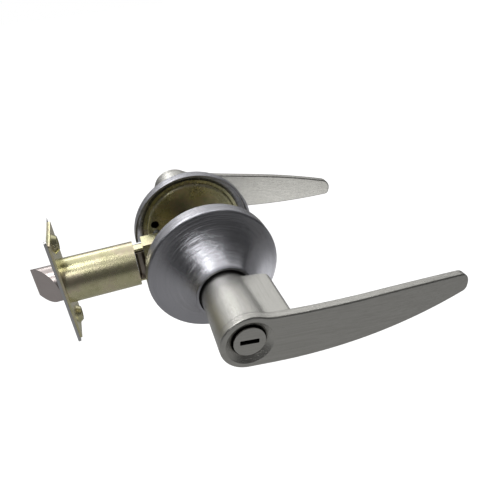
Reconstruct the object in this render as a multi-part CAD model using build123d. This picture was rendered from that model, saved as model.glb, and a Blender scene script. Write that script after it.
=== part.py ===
"""A tubular privacy lever set for a hinged door: two levers, two roses, and a spring latch.

World frame, millimetres: Y is the spindle axis, Z is up, the latch points to -X.
The origin is on the spindle axis, level with the latch, in the middle of the door.

Each side of the door is built in a side frame: z points out of the door from its mid-plane,
x lies along the lever and y is up. The interior's pieces are the exterior's mirror images, so
the two levers are a left-hand and a right-hand casting.
"""
from build123d import *
import math
import os

# ---- door and set ----
DOOR_THICKNESS = 35.0       # the set's two roses grip a door this thick
BACKSET = 70.0              # door edge to spindle axis
SHEET = 1.0                 # sheet metal of the roses and plates
BEARING_CLEARANCE = 0.08    # radial, a turning part in its bearing
SLIDE_CLEARANCE = 0.25      # per side, a sliding part in its guide
PART_CLEARANCE = 0.3        # faces that pass each other
THREAD_FIT = 0.02           # radial, a screw in its thread
CUT_PAST = 1.0              # how far a cutter runs past the face that it opens
LEVER_REST_ANGLE = 8.5      # the exterior lever lies this far below level at rest, degrees
INTERIOR_LAG = 6.9          # the interior lever is clamped on its hub this much lower, degrees
LEVER_TRAVEL = 60.0         # turn of the levers from rest to their stop, degrees

# ---- rose: a spun cover ----
ROSE_RADIUS = 31.5
ROSE_SIDE_HEIGHT = 6.6      # straight side wall, measured from the door
ROSE_HEIGHT = 26.0          # door to neck lip
ROSE_CORNER = 1.6           # corner between side wall and flare
ROSE_CORNER_LEAST = 0.3     # the same corner on the inside of thick sheet
NECK_RADIUS = 13.2
NECK_LIP_HEIGHT = 1.5       # the neck is straight this far
NECK_SLOPE = 75.0           # slope of the hollow flare where it meets the neck, degrees

# ---- lever casting ----
LEVER_PROJECTION = 60.7     # door face to the lever's outer face
LEVER_LENGTH = 104.5        # spindle axis to tip
SHANK_RADIUS = 11.3
END_RADIUS = 12.3           # the shank swells to this at the blade
SHANK_ENTRY = 8.0           # the shank reaches this far into the rose neck
BLADE_THICKNESS = 4.2
BLADE_SWEEP = 6.4           # the tip lies this much nearer the door
BLADE_SWEEP_START = 14.0    # the blade is straight this far out
BLADE_EDGE_ROUND = 0.8
WAIST_HEIGHT = 10.6         # top edge above the axis, beside the round end
WAIST_BLEND = 20.0          # hollow corner between the round end and the top edge
MIDDLE_HEIGHT = 12.0        # top edge above the axis, half way out
TIP_TOP_HEIGHT = 12.5
TIP_BOTTOM_HEIGHT = 3.5
TIP_TOP_RADIUS = 6.0
TIP_BOTTOM_RADIUS = 2.7
BLADE_BOTTOM_START = 8.0    # the bottom edge is straight this far out
WEB_REACH = 18.2            # the web beside the shank, out from the axis
WEB_HALF_HEIGHT = 10.1
WEB_CORNER = 2.0
WEB_GAP = 3.0               # web to rose neck
WEB_BLEND = 6.0             # hollow between the shank and the web
WEB_END_ROUND = 4.0         # the web's corner next to the rose
DISH_RADIUS = 10.0
DISH_DEPTH = 2.0
FACE_WALL = 7.7             # metal left between the hub's end and the outer face

# ---- hub and its bearing ----
HUB_RADIUS = 8.4
HUB_BORE_RADIUS = 5.0
HUB_FLANGE_RADIUS = 10.4
HUB_FLANGE_THICKNESS = 1.5
BUSHING_LENGTH = 6.0
BUSHING_DEPTH = 1.5         # the bushing sits this far inside the neck

# ---- mounting plate ----
PLATE_FACE_DEPTH = 4.2      # door face to the plate's raised disc
PLATE_FLANGE = 1.5          # width of the flange round the raised disc
PLATE_EMBOSS = 1.7          # step from the raised disc to the flange
PLATE_ROUND = 1.6           # rounded edge of the raised disc
PLATE_OPENING_RADIUS = 12.0
PLATE_CUP_DEPTH = 4.2       # raised disc to the cup's floor
STOP_TAB_WIDTH = 5.2
STOP_TAB_REACH = 9.4        # the tab's tip is this far from the axis
STOP_TAB_DEPTH = 3.6
SCREW_INSET = 5.3           # raised disc's edge to a screw's centre
SCREW_SLOT_HEIGHT = 3.0
PILOT_HOLE_RADIUS = 2.1
PILOT_HOLE_HEIGHT = 6.8

# ---- stop washer and retaining ring ----
WASHER_RADIUS = 11.4
WASHER_THICKNESS = 1.6
WASHER_WINDOW_RADIUS = 8.9
RING_RADIUS = 9.1
RING_THICKNESS = 1.1
RING_GAP = 4.0
GROOVE_DEPTH = 0.7

# ---- return spring ----
RETURN_WIRE_RADIUS = 0.7
RETURN_COIL_RADIUS = 10.2
RETURN_PITCH = 1.5
RETURN_TURNS = 3

# ---- spindle and privacy bar ----
SPINDLE_SIZE = 8.0
SPINDLE_FIT = 0.1           # per side, in the hubs and the cam
SPINDLE_LENGTH = 80.0
SPINDLE_BORE_RADIUS = 2.6
BAR_WIDTH = 4.4
BAR_THICKNESS = 1.5
BAR_LENGTH = 100.0
BAR_FIT = 0.1

# ---- release disc and turn button ----
DISC_RADIUS = 6.6
DISC_HOLE_RADIUS = 7.25
DISC_SET_BACK = 0.9         # the disc's face below the lever's face
COLLAR_RADIUS = 7.9
COLLAR_THICKNESS = 1.2
STEM_GAP = 3.5              # spindle's end to stem
COIN_SLOT_LENGTH = 7.9
COIN_SLOT_WIDTH = 2.1
COIN_SLOT_DEPTH = 2.0
COIN_SLOT_CORNER = 0.4
BUTTON_GRIP_LENGTH = 12.4
BUTTON_GRIP_WIDTH = 4.6
BUTTON_GRIP_HEIGHT = 9.0
BUTTON_GRIP_CORNER = 2.0
BUTTON_GRIP_ROUND = 0.9

# ---- fasteners ----
SCREW_RADIUS = 2.0
SCREW_FIT = 0.2
SCREW_HEAD_RADIUS = 3.6
SCREW_HEAD_HEIGHT = 2.2
SCREW_LENGTH = 35.0
SCREW_HEAD_ROUND = 0.9
DRIVE_SLOT_LENGTH = 4.0
DRIVE_SLOT_WIDTH = 0.9
DRIVE_SLOT_DEPTH = 1.0
POST_RADIUS = 3.2
POST_HEAD_RADIUS = 3.8
POST_HEAD_THICKNESS = 1.2
POST_LENGTH = 27.0
POST_FLOOR = 4.0            # solid metal behind the thread
SET_SCREW_RADIUS = 2.0
SET_SCREW_DEPTH = 19.0      # from the lever's face, along the shank
SET_SCREW_BITE = 0.9        # how deep its point sits in the hub
HEX_SOCKET_RADIUS = 1.1

# ---- latch ----
FACEPLATE_WIDTH = 25.4
FACEPLATE_HEIGHT = 57.2
FACEPLATE_THICKNESS = 1.2
FACEPLATE_CORNER = 1.2
BACK_PLATE_WIDTH = 24.6
BACK_PLATE_HEIGHT = 53.6
BACK_PLATE_THICKNESS = 1.0
FACEPLATE_SCREW_SPACING = 41.3
FACEPLATE_HOLE_RADIUS = 2.4
SINK_RADIUS = 4.5           # the screw holes' dished mouths
SINK_DEPTH = 1.9
TUBE_RADIUS = 11.0
TUBE_WALL = 0.8
TUBE_LENGTH = 34.0
BOLT_RADIUS = 9.0
BOLT_FLAT = 6.5             # the bolt's flat side, from its axis
BOLT_PROJECTION = 12.7
BOLT_TRAVEL = 12.0
BOLT_TIP_LAND = 1.4         # flat left at the bolt's nose
BOLT_BEVEL_END = 0.8        # the bevel stops this far outside the faceplate
BOLT_BODY_LENGTH = 25.0
BOLT_SLOT_DEPTH = 7.0       # slot in the bolt's back for the retractor
PIN_SET_BACK = 3.5          # the cross pin, from the bolt's back
BOLT_EDGE_ROUND = 0.5
CAM_RADIUS = 6.4
CAM_WIDTH = 9.6
LOBE_HALF_WIDTH = 1.6       # at the tip
LOBE_UNDERCUT = 3.0         # the lobe's root lies this far behind its tip
LOBE_THICKNESS = 2.8
FRAME_SHEET = 1.2
FRAME_WIDTH = 9.6
FRAME_STEP = 1.0            # the frame's inside lies this far inside the tube's radius
FRAME_END = 12.0            # past the spindle axis
CHEEK_LAP = 4.0             # the cheeks run on beside the strap's plates
FRAME_GAP = 4.5             # tube to the frame's plates
TAB_LENGTH = 3.0            # the tabs reach this far into the tube
TAB_WIDTH = 4.4
TAB_DROP = 2.0              # the tabs are folded this far inward, to enter the tube
GUIDE_LENGTH = 5.0          # upright guide beside the retractor, behind the tube
GUIDE_WINDOW_HEIGHT = 9.0
GUIDE_WINDOW_LENGTH = 1.8
RETRACTOR_SHEET = 1.2
RETRACTOR_OFFSET = 1.8      # its near face, from the latch's middle plane
STEM_HALF_HEIGHT = 4.0
ARM_HEIGHT = 2.3
HOOK_OVERLAP = 3.0          # how much of a lobe's height its hook catches
HOOK_THICKNESS = 2.0
HOOK_NECK = 4.0             # straight part of an arm beside its hook
ARM_RAMP = 4.0              # length over which an arm climbs to its hook
WEB_LENGTH = 2.0
BOLT_SPRING_WIRE_RADIUS = 0.4
BOLT_SPRING_COIL_RADIUS = 6.4
BOLT_SPRING_TURNS = 7
SPRING_SEAT_THICKNESS = 1.5
RETRACTOR_PIN_RADIUS = 1.25
PIN_LENGTH = 12.0

# ---- places worked out from the sizes above ----
DOOR_FACE = DOOR_THICKNESS / 2
LEVER_FACE = DOOR_FACE + LEVER_PROJECTION
NECK_LIP = DOOR_FACE + ROSE_HEIGHT
SHANK_START = NECK_LIP - SHANK_ENTRY
FLARE_SLOPE = math.radians(NECK_SLOPE)
FLARE_FOOT = NECK_LIP - NECK_LIP_HEIGHT
FLARE_WIDTH = ROSE_RADIUS - NECK_RADIUS
FLARE_RISE = FLARE_FOOT - DOOR_FACE - ROSE_SIDE_HEIGHT
FLARE_RADIUS = (FLARE_WIDTH**2 + FLARE_RISE**2) / (
    2 * (FLARE_WIDTH * math.sin(FLARE_SLOPE) - FLARE_RISE * math.cos(FLARE_SLOPE)))
FLARE_CENTRE_R = NECK_RADIUS + FLARE_RADIUS * math.sin(FLARE_SLOPE)
FLARE_CENTRE_Z = FLARE_FOOT + FLARE_RADIUS * math.cos(FLARE_SLOPE)
PLATE_FACE = DOOR_FACE + PLATE_FACE_DEPTH
PLATE_TOP = PLATE_FACE + PLATE_EMBOSS + SHEET
RIM_INSET = SHEET + PART_CLEARANCE
RIM_UNDER_FLARE = FLARE_CENTRE_R - math.sqrt((FLARE_RADIUS + RIM_INSET)**2 - (FLARE_CENTRE_Z - PLATE_TOP)**2)
PLATE_RADIUS = min(RIM_UNDER_FLARE, ROSE_RADIUS - RIM_INSET)
PLATE_DISC_RADIUS = PLATE_RADIUS - PLATE_FLANGE
SCREW_X = PLATE_DISC_RADIUS - SCREW_INSET
CUP_FLOOR = PLATE_FACE + PLATE_CUP_DEPTH
HUB_START = PLATE_FACE - PART_CLEARANCE
HUB_END = LEVER_FACE - FACE_WALL - COLLAR_THICKNESS - 2 * PART_CLEARANCE
BORE_END = LEVER_FACE - FACE_WALL
FLANGE_START = CUP_FLOOR + SHEET + PART_CLEARANCE / 2
WASHER_START = CUP_FLOOR - PART_CLEARANCE - WASHER_THICKNESS
RING_START = WASHER_START - RING_THICKNESS
FRONT_X = -BACKSET
BACK_PLATE_X = FRONT_X + FACEPLATE_THICKNESS
TUBE_X = BACK_PLATE_X + BACK_PLATE_THICKNESS
TUBE_END_X = TUBE_X + TUBE_LENGTH
TUBE_BORE = TUBE_RADIUS - TUBE_WALL
BOLT_TIP_X = FRONT_X - BOLT_PROJECTION
BOLT_END_X = BOLT_TIP_X + BOLT_BODY_LENGTH
HALF_TRAVEL = math.radians(LEVER_TRAVEL / 2)
LOBE_HEIGHT = BOLT_TRAVEL / (2 * math.sin(HALF_TRAVEL))
LOBE_TIP_X = LOBE_HALF_WIDTH * math.cos(HALF_TRAVEL) - LOBE_HEIGHT * math.sin(HALF_TRAVEL)
HOOK_X = LOBE_TIP_X + 2 * PART_CLEARANCE
HOOK_INNER = LOBE_HEIGHT - HOOK_OVERLAP
ARM_INNER = CAM_RADIUS + 2 * PART_CLEARANCE
ARM_OUTER = ARM_INNER + ARM_HEIGHT
WEB_END_X = -SCREW_X - POST_RADIUS - PART_CLEARANCE - BOLT_TRAVEL
WEB_START_X = WEB_END_X - WEB_LENGTH
SEAT_END_X = min(WEB_START_X, TUBE_END_X - TAB_LENGTH) - PART_CLEARANCE
SEAT_X = SEAT_END_X - SPRING_SEAT_THICKNESS
STEM_Z = SPINDLE_LENGTH / 2 + STEM_GAP


def span_cylinder(radius, z0, z1):
    """A cylinder on the z axis from z0 to z1."""
    return Pos(0, 0, (z0 + z1) / 2) * Cylinder(radius, z1 - z0)


def span_box(x0, x1, y0, y1, z0, z1):
    """A box between two corners."""
    return Pos((x0 + x1) / 2, (y0 + y1) / 2, (z0 + z1) / 2) * Box(x1 - x0, y1 - y0, z1 - z0)


def tube(outer, inner, z0, z1):
    """A plain ring on the z axis."""
    return span_cylinder(outer, z0, z1) - span_cylinder(inner, z0 - CUT_PAST, z1 + CUT_PAST)


def outside(shape, droop=0):
    """Side frame to world on the exterior, turned about the spindle so that x points down."""
    return Rot(0, droop, 0) * Rot(90, 0, 0) * shape


def inside(shape, droop=0):
    """The same on the interior, as the mirror image."""
    return mirror(outside(shape, droop), Plane.XZ)


def along_x(shape):
    """Turn a shape built on the z axis onto the latch's axis, +z to +X."""
    return Rot(0, 90, 0) * shape


# ---------------------------------------------------------------- side pieces

def rose_region(inset):
    """Half section under the rose's skin, moved in by inset, for turning about z.

    The flare is an arc from the top of the side wall to the neck, where its slope is given.
    """
    radius = FLARE_RADIUS + inset
    wall = ROSE_RADIUS - inset
    shoulder = math.asin((FLARE_CENTRE_R - wall) / radius)
    middle = (shoulder + FLARE_SLOPE) / 2

    def on_flare(angle):
        return (FLARE_CENTRE_R - radius * math.sin(angle), FLARE_CENTRE_Z - radius * math.cos(angle))

    outline = Polyline((0, DOOR_FACE), (wall, DOOR_FACE), on_flare(shoulder))
    outline += ThreePointArc(on_flare(shoulder), on_flare(middle), on_flare(FLARE_SLOPE))
    outline += Polyline(on_flare(FLARE_SLOPE), (NECK_RADIUS - inset, NECK_LIP), (0, NECK_LIP), (0, DOOR_FACE))
    region = make_face(outline)
    rim_corner = region.vertices().sort_by_distance(on_flare(shoulder))[0]
    return Plane.XZ * fillet(rim_corner, max(ROSE_CORNER - inset, ROSE_CORNER_LEAST))


def make_rose():
    """Spun cover, open towards the door and at the neck."""
    skin = revolve(rose_region(0), Axis.Z)
    hollow = revolve(rose_region(SHEET), Axis.Z)
    neck_hole = span_cylinder(NECK_RADIUS - SHEET, NECK_LIP - NECK_LIP_HEIGHT, NECK_LIP + CUT_PAST)
    return skin - hollow - neck_hole


def blade_outline():
    """The lever's front outline, level: the round end, the blade with its waist, and the tip."""
    tip = LEVER_LENGTH
    waist = TangentArc((0, WAIST_HEIGHT), (tip / 2, MIDDLE_HEIGHT), tangent=(1, 0))
    crest = TangentArc((tip / 2, MIDDLE_HEIGHT), (tip, TIP_TOP_HEIGHT), tangent=waist % 1)
    belly = TangentArc((BLADE_BOTTOM_START, -END_RADIUS), (tip, TIP_BOTTOM_HEIGHT), tangent=(1, 0))
    outline = waist + crest + Line((tip, TIP_TOP_HEIGHT), (tip, TIP_BOTTOM_HEIGHT)) + belly
    outline += Polyline((BLADE_BOTTOM_START, -END_RADIUS), (0, -END_RADIUS), (0, WAIST_HEIGHT))
    region = make_face(outline)
    region = fillet(region.vertices().sort_by_distance((tip, TIP_TOP_HEIGHT))[0], TIP_TOP_RADIUS)
    region = fillet(region.vertices().sort_by_distance((tip, TIP_BOTTOM_HEIGHT))[0], TIP_BOTTOM_RADIUS)
    region += Circle(END_RADIUS)
    hollow = (math.sqrt(END_RADIUS**2 - WAIST_HEIGHT**2), WAIST_HEIGHT)
    return fillet(region.vertices().sort_by_distance(hollow)[0], WAIST_BLEND)


def blade_plan():
    """The blade seen from above: straight beside the shank, then swept towards the door."""
    start = BLADE_SWEEP_START
    run = LEVER_LENGTH - start
    outer = (run**2 + BLADE_SWEEP**2) / (2 * BLADE_SWEEP)
    inner = outer - BLADE_THICKNESS
    centre_z = LEVER_FACE - outer
    past_tip = math.asin(run / outer) + math.asin(2 * CUT_PAST / inner)
    behind = -END_RADIUS - CUT_PAST

    def swept(radius, angle):
        return (start + radius * math.sin(angle), centre_z + radius * math.cos(angle))

    outline = Polyline(swept(inner, 0), (behind, LEVER_FACE - BLADE_THICKNESS), (behind, LEVER_FACE),
                       swept(outer, 0))
    outline += ThreePointArc(swept(outer, 0), swept(outer, past_tip / 2), swept(outer, past_tip))
    outline += Line(swept(outer, past_tip), swept(inner, past_tip))
    outline += ThreePointArc(swept(inner, past_tip), swept(inner, past_tip / 2), swept(inner, 0))
    return Plane.XZ * make_face(outline)


def make_blade():
    """Outline and plan crossed, with the rims of both faces rounded."""
    low = LEVER_FACE - BLADE_SWEEP - 2 * BLADE_THICKNESS
    front = extrude(Pos(0, 0, low) * blade_outline(), LEVER_FACE + CUT_PAST - low)
    plan = extrude(blade_plan(), LEVER_LENGTH, both=True)
    blade = front & plan
    rims = blade.edges().filter_by(Axis.Y, reverse=True).filter_by(Axis.Z, reverse=True)
    return fillet(rims, BLADE_EDGE_ROUND)


def shank_radius(height):
    """The shank swells evenly from the rose's neck to the middle of the blade."""
    swell = (height - NECK_LIP) / (LEVER_FACE - BLADE_THICKNESS / 2 - NECK_LIP)
    return SHANK_RADIUS + swell * (END_RADIUS - SHANK_RADIUS)


def shank_section(height):
    """Shank and web cut across at a height, with a hollow where they meet."""
    web = Pos(WEB_REACH / 2, 0) * Rectangle(WEB_REACH, 2 * WEB_HALF_HEIGHT)
    section = Circle(shank_radius(height)) + web
    section = fillet(section.vertices().sort_by(Axis.X)[-2:], WEB_CORNER)
    section = fillet(section.vertices().sort_by(Axis.X)[:2], WEB_BLEND)
    return Pos(0, 0, height) * section


def web_end_cutter():
    """What is cut off the web to round its corner next to the rose."""
    start = NECK_LIP + WEB_GAP
    inner_x = WEB_REACH - WEB_END_ROUND
    corner = span_box(inner_x, WEB_REACH + CUT_PAST, -END_RADIUS, END_RADIUS,
                      start - CUT_PAST, start + WEB_END_ROUND)
    round_bar = Rot(90, 0, 0) * Cylinder(WEB_END_ROUND, 4 * END_RADIUS)
    return corner - Pos(inner_x, 0, start + WEB_END_ROUND) * round_bar


def make_lever():
    """The casting: blade, swelling hollow shank and the web that joins them."""
    blade_middle = LEVER_FACE - BLADE_THICKNESS / 2
    web_start = NECK_LIP + WEB_GAP
    shank = span_cylinder(SHANK_RADIUS, SHANK_START, NECK_LIP)
    shank += Pos(0, 0, NECK_LIP + WEB_GAP / 2) * Cone(SHANK_RADIUS, shank_radius(web_start), WEB_GAP)
    webbed = loft([shank_section(web_start), shank_section(blade_middle)], ruled=True)
    casting = make_blade() + shank + (webbed - web_end_cutter())
    casting -= span_cylinder(HUB_RADIUS, SHANK_START - CUT_PAST, BORE_END)
    casting -= span_cylinder(DISC_HOLE_RADIUS, BORE_END - CUT_PAST, LEVER_FACE + CUT_PAST)
    casting -= Pos(0, 0, LEVER_FACE - DISH_DEPTH / 2) * Cone(DISC_HOLE_RADIUS, DISH_RADIUS, DISH_DEPTH)
    return casting - under_shank(SET_SCREW_RADIUS, 0, END_RADIUS + CUT_PAST)


def under_shank(radius, inner, outer):
    """A cylinder under the shank where the set screw goes, between two distances from the axis."""
    bar = Rot(90, 0, 0) * Cylinder(radius, outer - inner)
    return Pos(0, -(inner + outer) / 2, LEVER_FACE - SET_SCREW_DEPTH) * bar


def make_set_screw():
    """Headless screw through the shank, its point in the hub's dimple."""
    inner = HUB_RADIUS - SET_SCREW_BITE
    socket = extrude(RegularPolygon(HEX_SOCKET_RADIUS, 6), (SHANK_RADIUS - inner) / 2)
    socket = Pos(0, -SHANK_RADIUS, LEVER_FACE - SET_SCREW_DEPTH) * Rot(-90, 0, 0) * socket
    return under_shank(SET_SCREW_RADIUS, inner, SHANK_RADIUS) - socket


def make_hub(lag):
    """Steel sleeve that turns in the plate, carries the lever and takes the spindle.

    Its dimple for the set screw is turned by the lever's lag behind the spindle.
    """
    hub = span_cylinder(HUB_RADIUS, HUB_START, HUB_END)
    hub += span_cylinder(HUB_FLANGE_RADIUS, FLANGE_START, FLANGE_START + HUB_FLANGE_THICKNESS)
    socket = SPINDLE_SIZE + 2 * SPINDLE_FIT
    spindle_end = SPINDLE_LENGTH / 2 + PART_CLEARANCE
    hub -= span_box(-socket / 2, socket / 2, -socket / 2, socket / 2, 0, spindle_end)
    hub -= span_cylinder(HUB_BORE_RADIUS, spindle_end - CUT_PAST, HUB_END + CUT_PAST)
    hub -= tube(HUB_RADIUS + CUT_PAST, HUB_RADIUS - GROOVE_DEPTH, RING_START, WASHER_START)
    dimple = under_shank(SET_SCREW_RADIUS, HUB_RADIUS - SET_SCREW_BITE, HUB_RADIUS + CUT_PAST)
    return hub - Rot(0, 0, -lag) * dimple


def make_bushing():
    """Nylon ring pressed in the rose's neck, the shank turns in it."""
    start = NECK_LIP - BUSHING_DEPTH - BUSHING_LENGTH
    return tube(NECK_RADIUS - SHEET, SHANK_RADIUS + BEARING_CLEARANCE, start, start + BUSHING_LENGTH)


def make_plate(screw_hole):
    """Stamped plate: raised disc, outer flange, centre cup with the hub's bearing, stop tab."""
    face = PLATE_FACE
    flange_start = face + PLATE_EMBOSS
    disc = span_cylinder(PLATE_DISC_RADIUS, face, flange_start + SHEET)
    disc = fillet(disc.edges().sort_by(Axis.Z)[0], PLATE_ROUND)
    disc -= span_cylinder(PLATE_DISC_RADIUS - SHEET, face + SHEET, flange_start + SHEET + CUT_PAST)
    plate = disc - span_cylinder(PLATE_OPENING_RADIUS, face - CUT_PAST, face + SHEET + CUT_PAST)
    plate += tube(PLATE_RADIUS, PLATE_DISC_RADIUS - SHEET, flange_start, flange_start + SHEET)
    cup_outer = PLATE_OPENING_RADIUS + SHEET
    plate += tube(cup_outer, PLATE_OPENING_RADIUS, face, CUP_FLOOR + SHEET)
    plate += tube(cup_outer, HUB_RADIUS + BEARING_CLEARANCE, CUP_FLOOR, CUP_FLOOR + SHEET)
    half = STOP_TAB_WIDTH / 2
    tab = span_box(-half, half, STOP_TAB_REACH, PLATE_OPENING_RADIUS + SHEET / 2, face, face + STOP_TAB_DEPTH)
    plate += tab
    pilot = span_cylinder(PILOT_HOLE_RADIUS, face - CUT_PAST, face + SHEET + CUT_PAST)
    for x in (-SCREW_X, SCREW_X):
        plate -= Pos(x, 0, 0) * screw_hole
        plate -= Pos(x, PILOT_HOLE_HEIGHT, 0) * pilot
    return plate


def post_hole():
    """A round hole that the post is staked in."""
    return span_cylinder(POST_RADIUS, PLATE_FACE - CUT_PAST, PLATE_FACE + SHEET + CUT_PAST)


def screw_slot():
    """An upright slot that lets the screws find their posts."""
    slot = SlotCenterToCenter(SCREW_SLOT_HEIGHT, 2 * (SCREW_RADIUS + SCREW_FIT), rotation=90)
    return extrude(Pos(0, 0, PLATE_FACE - CUT_PAST) * slot, SHEET + 2 * CUT_PAST)


def clock_sector(from_angle, to_angle, radius):
    """A wedge in the XY plane between two angles, 0 up and growing towards the lever."""
    def at(angle):
        return (radius * math.sin(math.radians(angle)), radius * math.cos(math.radians(angle)))

    rim = ThreePointArc(at(from_angle), at((from_angle + to_angle) / 2), at(to_angle))
    return make_face(Line((0, 0), at(from_angle)) + rim + Line(at(to_angle), (0, 0)))


def make_stop_washer():
    """Keyed on the hub: a window around the plate's tab sets the levers' travel."""
    washer = tube(WASHER_RADIUS, HUB_RADIUS, WASHER_START, WASHER_START + WASHER_THICKNESS)
    tab_half = math.degrees(math.asin((STOP_TAB_WIDTH / 2 + PART_CLEARANCE) / STOP_TAB_REACH))
    window = clock_sector(-tab_half - LEVER_TRAVEL, tab_half, 2 * WASHER_RADIUS)
    window -= Circle(WASHER_WINDOW_RADIUS)
    return washer - extrude(Pos(0, 0, WASHER_START) * window, WASHER_THICKNESS, both=True)


def make_retaining_ring():
    """Open ring in the hub's groove."""
    ring = tube(RING_RADIUS, HUB_RADIUS - GROOVE_DEPTH, RING_START, RING_START + RING_THICKNESS)
    return ring - span_box(-RING_GAP / 2, RING_GAP / 2, -RING_RADIUS - CUT_PAST, 0, 0, NECK_LIP)


def make_return_spring():
    """Torsion spring around the hub, one leg out to the plate's cup."""
    start = FLANGE_START + HUB_FLANGE_THICKNESS + RETURN_WIRE_RADIUS + PART_CLEARANCE / 2
    path = Helix(RETURN_PITCH, RETURN_PITCH * RETURN_TURNS, RETURN_COIL_RADIUS)
    wire = Plane(path @ 0, z_dir=path % 0) * Circle(RETURN_WIRE_RADIUS)
    coil = sweep(wire, path=path, is_frenet=True)
    return Rot(0, 0, 90) * Pos(0, 0, start) * coil


def make_stem(head_top):
    """Turned stem with the collar that keeps it behind the lever's face."""
    collar = HUB_END + PART_CLEARANCE
    stem = span_cylinder(HUB_BORE_RADIUS - BEARING_CLEARANCE, STEM_Z, collar)
    stem += span_cylinder(COLLAR_RADIUS, collar, collar + COLLAR_THICKNESS)
    stem += span_cylinder(DISC_RADIUS, collar, head_top)
    width = BAR_WIDTH / 2 + BAR_FIT
    depth = BAR_THICKNESS / 2 + BAR_FIT
    socket_end = BAR_LENGTH / 2 + PART_CLEARANCE
    return stem - span_box(-width, width, -depth, depth, STEM_Z - CUT_PAST, socket_end)


def make_release_disc():
    """Coin-slotted disc on the exterior, turned in an emergency."""
    face = LEVER_FACE - DISC_SET_BACK
    disc = make_stem(face)
    slot = RectangleRounded(COIN_SLOT_LENGTH, COIN_SLOT_WIDTH, COIN_SLOT_CORNER)
    return disc - extrude(Pos(0, 0, face) * slot, -COIN_SLOT_DEPTH)


def make_turn_button():
    """Thumb turn on the interior, its grip in line with that lever."""
    face = LEVER_FACE - DISC_SET_BACK
    button = make_stem(face)
    outline = RectangleRounded(BUTTON_GRIP_LENGTH, BUTTON_GRIP_WIDTH, BUTTON_GRIP_CORNER)
    grip = extrude(outline, BUTTON_GRIP_HEIGHT)
    grip = fillet(grip.faces().sort_by(Axis.Z)[-1].edges(), BUTTON_GRIP_ROUND)
    return button + Pos(0, 0, face) * Rot(0, 0, -INTERIOR_LAG) * grip


# ---------------------------------------------------------------- through pieces

def make_spindle():
    """Hollow square bar through cam and hubs."""
    half = SPINDLE_SIZE / 2
    reach = SPINDLE_LENGTH / 2
    bar = span_box(-half, half, -half, half, -reach, reach)
    return bar - span_cylinder(SPINDLE_BORE_RADIUS, -reach - CUT_PAST, reach + CUT_PAST)


def make_privacy_bar():
    """Flat bar that joins the turn button and the release disc."""
    return Box(BAR_WIDTH, BAR_THICKNESS, BAR_LENGTH)


def make_threaded_posts():
    """Two posts staked in the exterior plate."""
    head_start = PLATE_FACE + SHEET
    tip = head_start - POST_LENGTH
    post = span_cylinder(POST_RADIUS, tip, head_start)
    post += span_cylinder(POST_HEAD_RADIUS, head_start, head_start + POST_HEAD_THICKNESS)
    post -= span_cylinder(SCREW_RADIUS + THREAD_FIT, tip - CUT_PAST, head_start - POST_FLOOR)
    return Pos(-SCREW_X, 0, 0) * post + Pos(SCREW_X, 0, 0) * post


def make_mounting_screws():
    """Two screws through the interior plate into the posts."""
    seat = PLATE_FACE + SHEET
    screw = span_cylinder(SCREW_RADIUS, seat - SCREW_LENGTH, seat)
    head = span_cylinder(SCREW_HEAD_RADIUS, seat, seat + SCREW_HEAD_HEIGHT)
    head = fillet(head.edges().sort_by(Axis.Z)[-1], SCREW_HEAD_ROUND)
    cross = Rectangle(DRIVE_SLOT_LENGTH, DRIVE_SLOT_WIDTH) + Rectangle(DRIVE_SLOT_WIDTH, DRIVE_SLOT_LENGTH)
    screw += head - extrude(Pos(0, 0, seat + SCREW_HEAD_HEIGHT) * cross, -DRIVE_SLOT_DEPTH)
    return Pos(-SCREW_X, 0, 0) * screw + Pos(SCREW_X, 0, 0) * screw


# ---------------------------------------------------------------- latch

def bolt_section(grow):
    """The bolt's D outline in the YZ plane, grown by a clearance."""
    radius = BOLT_RADIUS + grow
    circle = Circle(radius)
    cut = Pos(BOLT_FLAT + grow + radius, 0) * Rectangle(2 * radius, 4 * radius)
    return Plane.YZ * (circle - cut)


def plate_blank(width, height, x0, thickness):
    """A rectangular plate across X with rounded corners and a D hole for the bolt."""
    blank = Plane.YZ * RectangleRounded(width, height, FACEPLATE_CORNER)
    blank = extrude(Pos(x0, 0, 0) * blank, thickness)
    opening = extrude(Pos(x0 - CUT_PAST, 0, 0) * bolt_section(SLIDE_CLEARANCE), thickness + 2 * CUT_PAST)
    return blank - opening


def make_faceplate():
    """Outer plate with two dished screw holes."""
    plate = plate_blank(FACEPLATE_WIDTH, FACEPLATE_HEIGHT, FRONT_X, FACEPLATE_THICKNESS)
    for z in (-FACEPLATE_SCREW_SPACING / 2, FACEPLATE_SCREW_SPACING / 2):
        opening = span_cylinder(SINK_RADIUS, -CUT_PAST, FACEPLATE_THICKNESS + CUT_PAST)
        plate -= Pos(FRONT_X, 0, z) * along_x(opening)
    return plate


def make_back_plate():
    """Inner plate, dimpled towards the door to sink the screw heads."""
    plate = plate_blank(BACK_PLATE_WIDTH, BACK_PLATE_HEIGHT, BACK_PLATE_X, BACK_PLATE_THICKNESS)
    wall = BACK_PLATE_THICKNESS
    for z in (-FACEPLATE_SCREW_SPACING / 2, FACEPLATE_SCREW_SPACING / 2):
        depth = SINK_DEPTH + wall
        cone = Cone(SINK_RADIUS + wall, FACEPLATE_HOLE_RADIUS + wall, depth)
        sink = Cone(SINK_RADIUS, FACEPLATE_HOLE_RADIUS, SINK_DEPTH)
        dimple = Pos(0, 0, depth / 2) * cone - Pos(0, 0, SINK_DEPTH / 2) * sink
        dimple -= span_cylinder(FACEPLATE_HOLE_RADIUS, 0, depth + CUT_PAST)
        blank_hole = span_cylinder(SINK_RADIUS + wall / 2, -CUT_PAST, wall + CUT_PAST)
        spot = Pos(BACK_PLATE_X, 0, z)
        plate -= spot * along_x(blank_hole)
        plate += spot * along_x(dimple)
    return plate


def make_latch_tube():
    """Case of the latch, from the back plate to the tail."""
    return along_x(tube(TUBE_RADIUS, TUBE_BORE, TUBE_X, TUBE_END_X))


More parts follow.
